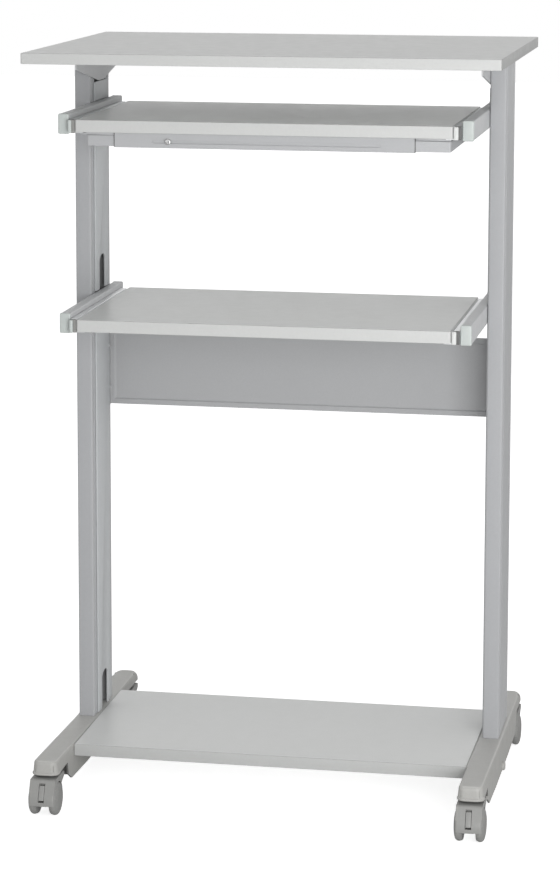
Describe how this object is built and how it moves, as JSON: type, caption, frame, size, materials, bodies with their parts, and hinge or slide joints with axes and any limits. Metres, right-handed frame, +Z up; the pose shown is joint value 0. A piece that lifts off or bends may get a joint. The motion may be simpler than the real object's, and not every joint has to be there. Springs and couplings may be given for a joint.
{
  "type": "computer cart",
  "caption": "Tall narrow standing computer cart on castors: fixed top, pull-out keyboard and middle shelves on ball slides, sideways mouse board, base shelf and posts with cable ducts.",
  "frame": {"origin": "on the floor, in the middle of the footprint", "axes": "+Z up, +X to the user's right, the user stands at -Y"},
  "size_m": [0.7, 0.574, 1.137],
  "materials": {
    "laminate": "pale grey melamine face on particle board",
    "post_metal": "satin grey powder coat",
    "painted_steel": "satin grey powder coat",
    "foot_plastic": "warm grey, fine texture",
    "castor_plastic": "mid grey, satin",
    "cap_plastic": "pale grey, satin",
    "cover_plastic": "grey, satin",
    "zinc_steel": "bright zinc plate",
    "bright_steel": "bright"
  },
  "bodies": {
    "frame": {"top_board": "laminate", "post_left": "post_metal", "post_right": "post_metal", "duct_cover_left": "cover_plastic", "duct_cover_right": "cover_plastic", "upper_cover_left": "cover_plastic", "upper_cover_right": "cover_plastic", "top_bracket_left": "painted_steel", "top_bracket_right": "painted_steel", "foot_left": "foot_plastic", "foot_right": "foot_plastic", "back_panel": "painted_steel", "base_shelf": "laminate", "keyboard_arm_left": "painted_steel", "keyboard_arm_cap_left": "cap_plastic", "keyboard_slide_outer_left": "zinc_steel", "keyboard_arm_right": "painted_steel", "keyboard_arm_cap_right": "cap_plastic", "keyboard_slide_outer_right": "zinc_steel", "middle_arm_left": "painted_steel", "middle_arm_cap_left": "cap_plastic", "middle_slide_outer_left": "zinc_steel", "middle_arm_right": "painted_steel", "middle_arm_cap_right": "cap_plastic", "middle_slide_outer_right": "zinc_steel", "castor_front_left_stem": "bright_steel", "castor_front_right_stem": "bright_steel", "castor_rear_left_stem": "bright_steel", "castor_rear_right_stem": "bright_steel"},
    "keyboard_shelf": {"keyboard_shelf": "laminate", "keyboard_slide_inner_left": "zinc_steel", "keyboard_slide_inner_right": "zinc_steel", "mouse_housing": "painted_steel"},
    "keyboard_cages": {"keyboard_slide_cage_left": "bright_steel", "keyboard_slide_cage_right": "bright_steel"},
    "middle_shelf": {"middle_shelf": "laminate", "middle_slide_inner_left": "zinc_steel", "middle_slide_inner_right": "zinc_steel"},
    "middle_cages": {"middle_slide_cage_left": "bright_steel", "middle_slide_cage_right": "bright_steel"},
    "mouse_board": {"mouse_board": "laminate", "stop_screw": "bright_steel"},
    "castor_front_left": {"castor_front_left_hood": "castor_plastic", "castor_front_left_axle": "bright_steel"},
    "castor_front_left_wheel_left": {"castor_front_left_wheel_left": "castor_plastic"},
    "castor_front_left_wheel_right": {"castor_front_left_wheel_right": "castor_plastic"},
    "castor_front_left_lever": {"castor_front_left_lever": "castor_plastic"},
    "castor_front_right": {"castor_front_right_hood": "castor_plastic", "castor_front_right_axle": "bright_steel"},
    "castor_front_right_wheel_left": {"castor_front_right_wheel_left": "castor_plastic"},
    "castor_front_right_wheel_right": {"castor_front_right_wheel_right": "castor_plastic"},
    "castor_front_right_lever": {"castor_front_right_lever": "castor_plastic"},
    "castor_rear_left": {"castor_rear_left_hood": "castor_plastic", "castor_rear_left_axle": "bright_steel"},
    "castor_rear_left_wheel_left": {"castor_rear_left_wheel_left": "castor_plastic"},
    "castor_rear_left_wheel_right": {"castor_rear_left_wheel_right": "castor_plastic"},
    "castor_rear_right": {"castor_rear_right_hood": "castor_plastic", "castor_rear_right_axle": "bright_steel"},
    "castor_rear_right_wheel_left": {"castor_rear_right_wheel_left": "castor_plastic"},
    "castor_rear_right_wheel_right": {"castor_rear_right_wheel_right": "castor_plastic"}
  },
  "joints": [
    {"name": "keyboard_pull", "type": "slide", "parent": "frame", "child": "keyboard_shelf", "axis": [0, -1, 0], "range_m": [0, 0.22]},
    {"name": "keyboard_cage_run", "type": "slide", "parent": "frame", "child": "keyboard_cages", "axis": [0, -1, 0], "range_m": [0, 0.11]},
    {"name": "middle_pull", "type": "slide", "parent": "frame", "child": "middle_shelf", "axis": [0, -1, 0], "range_m": [0, 0.22]},
    {"name": "middle_cage_run", "type": "slide", "parent": "frame", "child": "middle_cages", "axis": [0, -1, 0], "range_m": [0, 0.11]},
    {"name": "mouse_slide", "type": "slide", "parent": "keyboard_shelf", "child": "mouse_board", "axis": [1, 0, 0], "range_m": [-0.02, 0.308]},
    {"name": "castor_front_left_swivel", "type": "hinge", "parent": "frame", "child": "castor_front_left", "pos_m": [-0.3189, -0.2359, 0], "axis": [0, 0, 1], "continuous": true},
    {"name": "castor_front_left_wheel_left_spin", "type": "hinge", "parent": "castor_front_left", "child": "castor_front_left_wheel_left", "pos_m": [-0.3189, -0.2579, 0.025], "axis": [1, 0, 0], "continuous": true},
    {"name": "castor_front_left_wheel_right_spin", "type": "hinge", "parent": "castor_front_left", "child": "castor_front_left_wheel_right", "pos_m": [-0.3189, -0.2579, 0.025], "axis": [1, 0, 0], "continuous": true},
    {"name": "castor_front_left_lever_rock", "type": "hinge", "parent": "castor_front_left", "child": "castor_front_left_lever", "pos_m": [-0.3189, -0.27882, 0.03832], "axis": [1, 0, 0], "range_deg": [0, 12]},
    {"name": "castor_front_right_swivel", "type": "hinge", "parent": "frame", "child": "castor_front_right", "pos_m": [0.3189, -0.2359, 0], "axis": [0, 0, 1], "continuous": true},
    {"name": "castor_front_right_wheel_left_spin", "type": "hinge", "parent": "castor_front_right", "child": "castor_front_right_wheel_left", "pos_m": [0.3189, -0.2579, 0.025], "axis": [1, 0, 0], "continuous": true},
    {"name": "castor_front_right_wheel_right_spin", "type": "hinge", "parent": "castor_front_right", "child": "castor_front_right_wheel_right", "pos_m": [0.3189, -0.2579, 0.025], "axis": [1, 0, 0], "continuous": true},
    {"name": "castor_front_right_lever_rock", "type": "hinge", "parent": "castor_front_right", "child": "castor_front_right_lever", "pos_m": [0.3189, -0.27882, 0.03832], "axis": [1, 0, 0], "range_deg": [0, 12]},
    {"name": "castor_rear_left_swivel", "type": "hinge", "parent": "frame", "child": "castor_rear_left", "pos_m": [-0.3189, 0.2566, 0], "axis": [0, 0, 1], "continuous": true},
    {"name": "castor_rear_left_wheel_left_spin", "type": "hinge", "parent": "castor_rear_left", "child": "castor_rear_left_wheel_left", "pos_m": [-0.3189, 0.2346, 0.025], "axis": [1, 0, 0], "continuous": true},
    {"name": "castor_rear_left_wheel_right_spin", "type": "hinge", "parent": "castor_rear_left", "child": "castor_rear_left_wheel_right", "pos_m": [-0.3189, 0.2346, 0.025], "axis": [1, 0, 0], "continuous": true},
    {"name": "castor_rear_right_swivel", "type": "hinge", "parent": "frame", "child": "castor_rear_right", "pos_m": [0.3189, 0.2566, 0], "axis": [0, 0, 1], "continuous": true},
    {"name": "castor_rear_right_wheel_left_spin", "type": "hinge", "parent": "castor_rear_right", "child": "castor_rear_right_wheel_left", "pos_m": [0.3189, 0.2346, 0.025], "axis": [1, 0, 0], "continuous": true},
    {"name": "castor_rear_right_wheel_right_spin", "type": "hinge", "parent": "castor_rear_right", "child": "castor_rear_right_wheel_right", "pos_m": [0.3189, 0.2346, 0.025], "axis": [1, 0, 0], "continuous": true}
  ],
  "couplings": [
    {"joint": "keyboard_cage_run", "follows": "keyboard_pull", "ratio": 0.5},
    {"joint": "middle_cage_run", "follows": "middle_pull", "ratio": 0.5}
  ]
}
